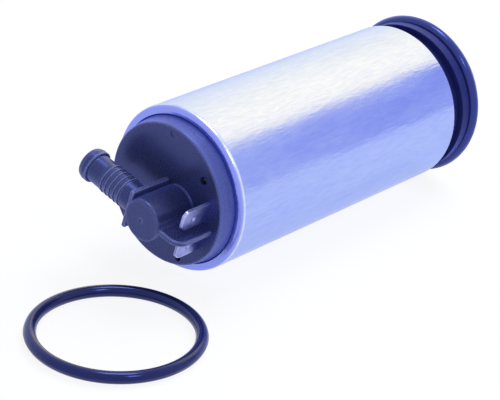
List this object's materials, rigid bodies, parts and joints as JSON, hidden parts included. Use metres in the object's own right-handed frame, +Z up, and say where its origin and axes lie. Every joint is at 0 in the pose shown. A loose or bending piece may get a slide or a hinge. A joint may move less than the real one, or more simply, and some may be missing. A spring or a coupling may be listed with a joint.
{
  "type": "in-tank electric fuel pump",
  "caption": "Round steel-bodied electric fuel pump lying on its side, with a moulded outlet elbow and hose barb, blade terminals, an open inlet end and a loose sealing ring",
  "frame": {"origin": "on the axis of the can, midway between its two ends", "axes": "+X along the can from the outlet end to the inlet end, +Z up from the surface that the pump and the spare ring lie on, +Y the side the hose barb points to, which is rolled 14.5 degrees up"},
  "size_m": [0.1419, 0.0521, 0.0392],
  "materials": {
    "can_steel": "satin",
    "cover_plastic": "satin",
    "inlet_plastic": "satin",
    "ring_rubber": "satin",
    "seal_rubber": "matte",
    "blade_metal": "satin",
    "seat_plastic": "satin",
    "valve_rubber": "matte",
    "spring_steel": "polished",
    "bearing_steel": "polished",
    "holder_plastic": "matte",
    "bush_bronze": "matte",
    "core_steel": "satin",
    "insulator_plastic": "matte",
    "winding_copper": "satin",
    "commutator_copper": "satin",
    "lead_copper": "matte",
    "magnet_ferrite": "matte",
    "brush_carbon": "matte",
    "pump_plastic": "satin",
    "impeller_plastic": "satin"
  },
  "bodies": {
    "pump": {"can": "can_steel", "outlet_cover": "cover_plastic", "cover_seal": "seal_rubber", "terminal_upper": "blade_metal", "terminal_lower": "blade_metal", "check_seat": "seat_plastic", "check_spring": "spring_steel", "relief_seat": "seat_plastic", "relief_spring": "spring_steel", "brush_holder": "holder_plastic", "upper_bush": "bush_bronze", "lower_bush": "bush_bronze", "flux_ring": "core_steel", "magnet_clips": "spring_steel", "magnet_1": "magnet_ferrite", "magnet_2": "magnet_ferrite", "pump_body": "pump_plastic", "inlet_cover": "inlet_plastic", "thrust_button": "bearing_steel", "inlet_ring": "ring_rubber", "brush_spring_1": "spring_steel", "brush_spring_2": "spring_steel", "brush_lead_1": "lead_copper", "brush_lead_2": "lead_copper"},
    "rotor": {"shaft": "bearing_steel", "armature_core": "core_steel", "front_insulator": "insulator_plastic", "rear_insulator": "insulator_plastic", "windings": "winding_copper", "commutator": "commutator_copper", "impeller": "impeller_plastic"},
    "check_poppet": {"check_valve": "valve_rubber"},
    "relief_ball": {"relief_ball": "bearing_steel"},
    "brush_one": {"brush_1": "brush_carbon"},
    "brush_two": {"brush_2": "brush_carbon"},
    "loose_ring": {"spare_ring": "ring_rubber"}
  },
  "joints": [
    {"name": "rotor_spin", "type": "hinge", "parent": "pump", "child": "rotor", "pos_m": [0, 0, 0], "axis": [1, 0, 0], "continuous": true},
    {"name": "check_valve_lift", "type": "slide", "parent": "pump", "child": "check_poppet", "axis": [-1, 0, 0], "range_m": [0, 0.0025], "stiffness_N_per_m": 60, "springref_m": -0.002, "deforming": ["check_spring"]},
    {"name": "relief_valve_lift", "type": "slide", "parent": "pump", "child": "relief_ball", "axis": [-1, 0, 0], "range_m": [0, 0.0012], "stiffness_N_per_m": 200, "springref_m": -0.001, "deforming": ["relief_spring"]},
    {"name": "brush_one_feed", "type": "slide", "parent": "pump", "child": "brush_one", "axis": [-1, 0, 0], "range_m": [0, 0.002], "stiffness_N_per_m": 100, "springref_m": -0.004, "deforming": ["brush_spring_1", "brush_lead_1"]},
    {"name": "brush_two_feed", "type": "slide", "parent": "pump", "child": "brush_two", "axis": [-1, 0, 0], "range_m": [0, 0.002], "stiffness_N_per_m": 100, "springref_m": -0.004, "deforming": ["brush_spring_2", "brush_lead_2"]},
    {"name": "spare_ring_slide", "type": "slide", "parent": "pump", "child": "loose_ring", "axis": [-1, 0, 0], "range_m": [0, 0.06]}
  ]
}
